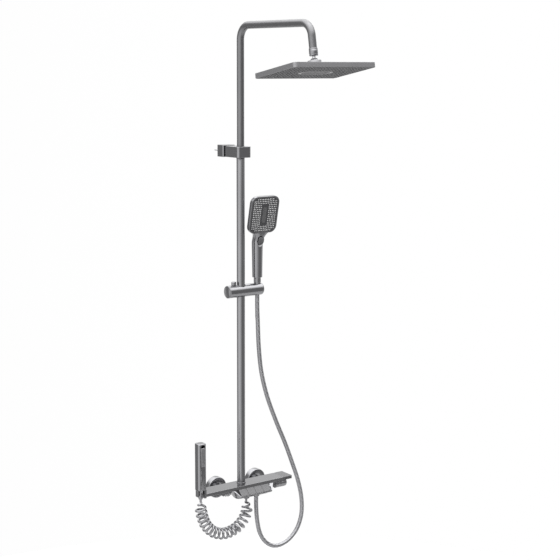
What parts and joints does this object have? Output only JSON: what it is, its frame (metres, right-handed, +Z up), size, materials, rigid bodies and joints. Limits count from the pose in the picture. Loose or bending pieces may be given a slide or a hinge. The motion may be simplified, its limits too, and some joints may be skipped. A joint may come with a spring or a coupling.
{
  "type": "rainfall shower column",
  "caption": "Gunmetal rainfall shower column: shelf mixer with keys and waterfall lip, telescoping riser, swivelling arm with rain head, sliding handset and bidet sprayer.",
  "frame": {"origin": "midway between the two wall inlets, on the wall's face", "axes": "+Y into the wall, -Y into the room, +Z up along the riser, +X to the right as seen from the room"},
  "size_m": [0.4299, 0.5828, 1.6511],
  "materials": {
    "gunmetal": "satin gunmetal, neutral",
    "dark_metal": "satin",
    "steel": "satin",
    "brass": "machined",
    "key_grey": "matte grey",
    "hose_metal": "satin spiral",
    "grey_plastic": "gloss",
    "dark_plastic": "matte",
    "white_plastic": "matte",
    "grey_rubber": "matte"
  },
  "bodies": {
    "root": {"mixer_body": "gunmetal", "shelf_plate": "gunmetal", "spout_shell": "gunmetal", "spout_strip": "dark_plastic", "key_pin": "steel", "key_valves": "brass", "inlet_unions": "gunmetal", "escutcheons": "gunmetal", "union_nuts": "gunmetal", "inlet_filters": "white_plastic", "mixing_cartridge": "white_plastic", "outlet_nipples": "brass", "riser_base": "gunmetal", "lower_riser": "gunmetal", "bracket_plate": "steel", "bracket_screws": "steel", "bracket_base": "gunmetal", "bracket_block": "gunmetal", "bracket_sleeve": "dark_plastic", "telescope_bush": "dark_plastic", "grub_screws": "steel", "fork_holder": "gunmetal", "hose_nut": "gunmetal", "hose": "hose_metal", "curly_nut": "gunmetal", "curly_hose": "grey_plastic"},
    "telescope": {"piston_rings": "dark_plastic"},
    "arm": {"upper_arm": "gunmetal", "arm_nut": "gunmetal", "ball_stem": "steel"},
    "head_pivot": {"ball_seat": "dark_plastic"},
    "rain_head": {"head_boss": "gunmetal", "head_shell": "gunmetal", "head_face": "dark_metal", "head_nozzles": "grey_rubber", "head_inset": "steel"},
    "slider": {"slider_body": "gunmetal", "slider_cap": "gunmetal", "slider_bush": "dark_plastic", "clamp_pad": "dark_plastic"},
    "clamp_knob": {"clamp_knob": "gunmetal"},
    "hose_end": {"cone_nut": "gunmetal"},
    "handset": {"handset_body": "gunmetal", "handset_face": "dark_plastic", "handset_nozzles": "grey_rubber", "handset_core": "white_plastic", "button_spring": "steel"},
    "thumb_button": {"thumb_button": "gunmetal"},
    "lever": {"lever_hub": "gunmetal", "lever_plate": "gunmetal"},
    "key_1": {"key_1": "key_grey"},
    "key_2": {"key_2": "key_grey"},
    "key_3": {"key_3": "key_grey"},
    "key_4": {"key_4": "key_grey"},
    "sprayer": {"sprayer_body": "gunmetal", "sprayer_nozzle": "dark_plastic", "sprayer_nut": "gunmetal", "trigger_pin": "steel", "trigger_spring": "steel"},
    "trigger": {"trigger": "key_grey"}
  },
  "joints": [
    {"name": "column_height", "type": "slide", "parent": "root", "child": "telescope", "axis": [0, 0, 1], "range_m": [-0.25, 0.12]},
    {"name": "arm_swing", "type": "hinge", "parent": "telescope", "child": "arm", "pos_m": [-0.037, -0.095, 1.07], "axis": [0, 0, 1], "range_deg": [-45, 45]},
    {"name": "head_tilt", "type": "hinge", "parent": "arm", "child": "head_pivot", "pos_m": [-0.037, -0.45404, 1.3214], "axis": [1, 0, 0], "range_deg": [-12, 12]},
    {"name": "head_roll", "type": "hinge", "parent": "head_pivot", "child": "rain_head", "pos_m": [-0.037, -0.45404, 1.3214], "axis": [0, 0.9848, -0.1736], "range_deg": [-12, 12]},
    {"name": "slider_slide", "type": "slide", "parent": "root", "child": "slider", "axis": [0, 0, 1], "range_m": [-0.3, 0.09], "deforming": ["hose"]},
    {"name": "clamp_turn", "type": "hinge", "parent": "slider", "child": "clamp_knob", "pos_m": [-0.063, -0.095, 0.635], "axis": [0, 0, 1], "range_deg": [0, 180]},
    {"name": "handset_lift", "type": "slide", "parent": "slider", "child": "hose_end", "axis": [0, 0, 1], "range_m": [0, 0.06], "deforming": ["hose"]},
    {"name": "handset_turn", "type": "hinge", "parent": "hose_end", "child": "handset", "pos_m": [0.024, -0.095, 0.67], "axis": [0, 0, 1], "range_deg": [0, 80]},
    {"name": "button_push", "type": "slide", "parent": "handset", "child": "thumb_button", "axis": [0, 0.9511, 0.309], "range_m": [0, 0.002], "stiffness_N_per_m": 2000, "springref_m": -0.001, "deforming": ["button_spring"]},
    {"name": "lever_turn", "type": "hinge", "parent": "root", "child": "lever", "pos_m": [0.112, -0.104, 0.006], "axis": [1, 0, 0], "range_deg": [-45, 45]},
    {"name": "key_1_press", "type": "hinge", "parent": "root", "child": "key_1", "pos_m": [-0.056, -0.1272, 0.01473], "axis": [1, 0, 0], "range_deg": [0, 5], "stiffness_Nm_per_rad": 1.5, "springref_deg": -2.86},
    {"name": "key_2_press", "type": "hinge", "parent": "root", "child": "key_2", "pos_m": [-0.028, -0.1272, 0.01473], "axis": [1, 0, 0], "range_deg": [0, 5], "stiffness_Nm_per_rad": 1.5, "springref_deg": -2.86},
    {"name": "key_3_press", "type": "hinge", "parent": "root", "child": "key_3", "pos_m": [0, -0.1272, 0.01473], "axis": [1, 0, 0], "range_deg": [0, 5], "stiffness_Nm_per_rad": 1.5, "springref_deg": -2.86},
    {"name": "key_4_press", "type": "hinge", "parent": "root", "child": "key_4", "pos_m": [0.028, -0.1272, 0.01473], "axis": [1, 0, 0], "range_deg": [0, 5], "stiffness_Nm_per_rad": 1.5, "springref_deg": -2.86},
    {"name": "sprayer_lift", "type": "slide", "parent": "root", "child": "sprayer", "axis": [0, 0, 1], "range_m": [0, 0.06], "deforming": ["curly_hose"]},
    {"name": "trigger_pull", "type": "hinge", "parent": "sprayer", "child": "trigger", "pos_m": [-0.2085, -0.14, 0.177], "axis": [1, 0, 0], "range_deg": [0, 5], "stiffness_Nm_per_rad": 2, "springref_deg": -5.73, "deforming": ["trigger_spring"]}
  ]
}
